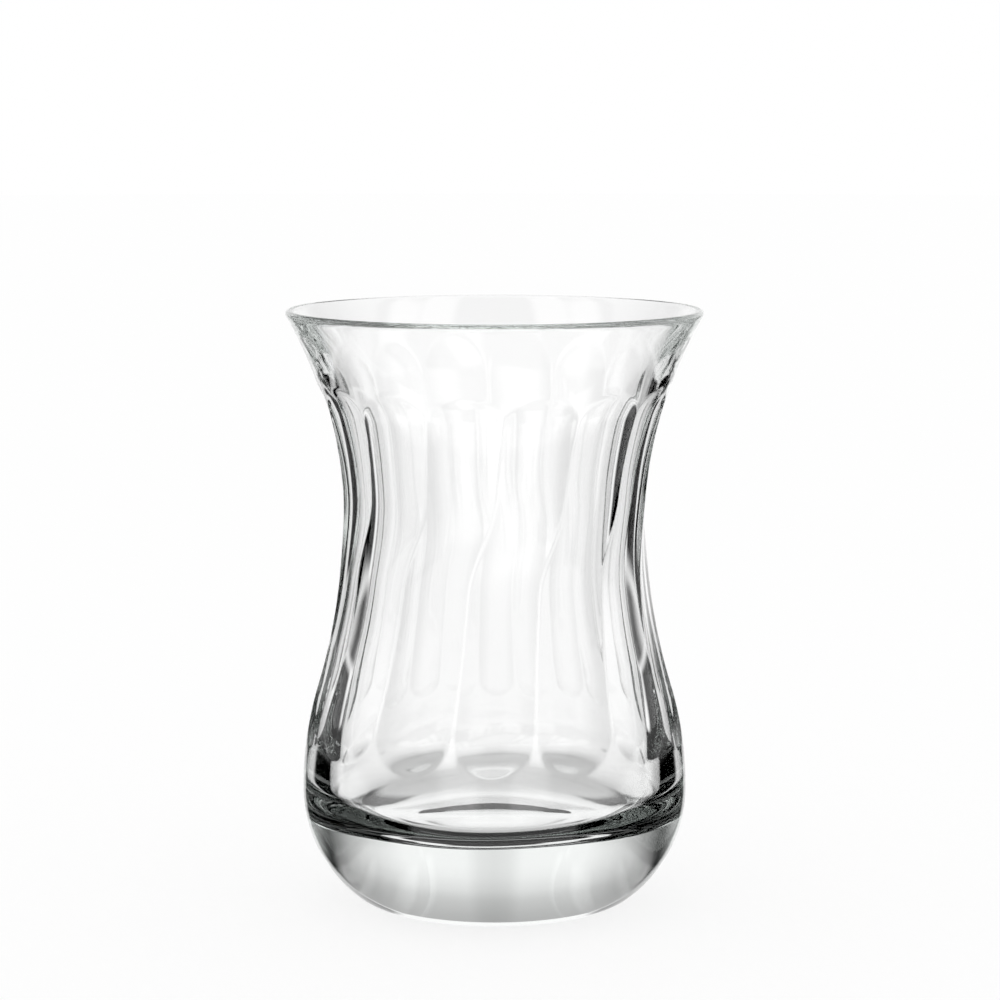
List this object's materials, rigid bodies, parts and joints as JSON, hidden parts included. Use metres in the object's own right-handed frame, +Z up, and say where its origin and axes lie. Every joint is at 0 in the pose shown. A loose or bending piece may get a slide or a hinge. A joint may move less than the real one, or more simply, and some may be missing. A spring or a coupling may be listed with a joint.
{
  "type": "chai glass",
  "caption": "Clear waisted tea glass with a flared rim, leaning flutes round the waist, a round belly and a thick solid base.",
  "frame": {"origin": "middle of the foot ring, on the surface that the glass stands on", "axes": "+Z up along the axis of the glass, out of its mouth; -Y towards the viewer of the picture"},
  "size_m": [0.066, 0.066, 0.095],
  "materials": {
    "clear_glass": "clear fire-polished soda-lime glass, faintly green where it is thick"
  },
  "bodies": {
    "root": {"tea_glass": "clear_glass"}
  },
  "joints": []
}
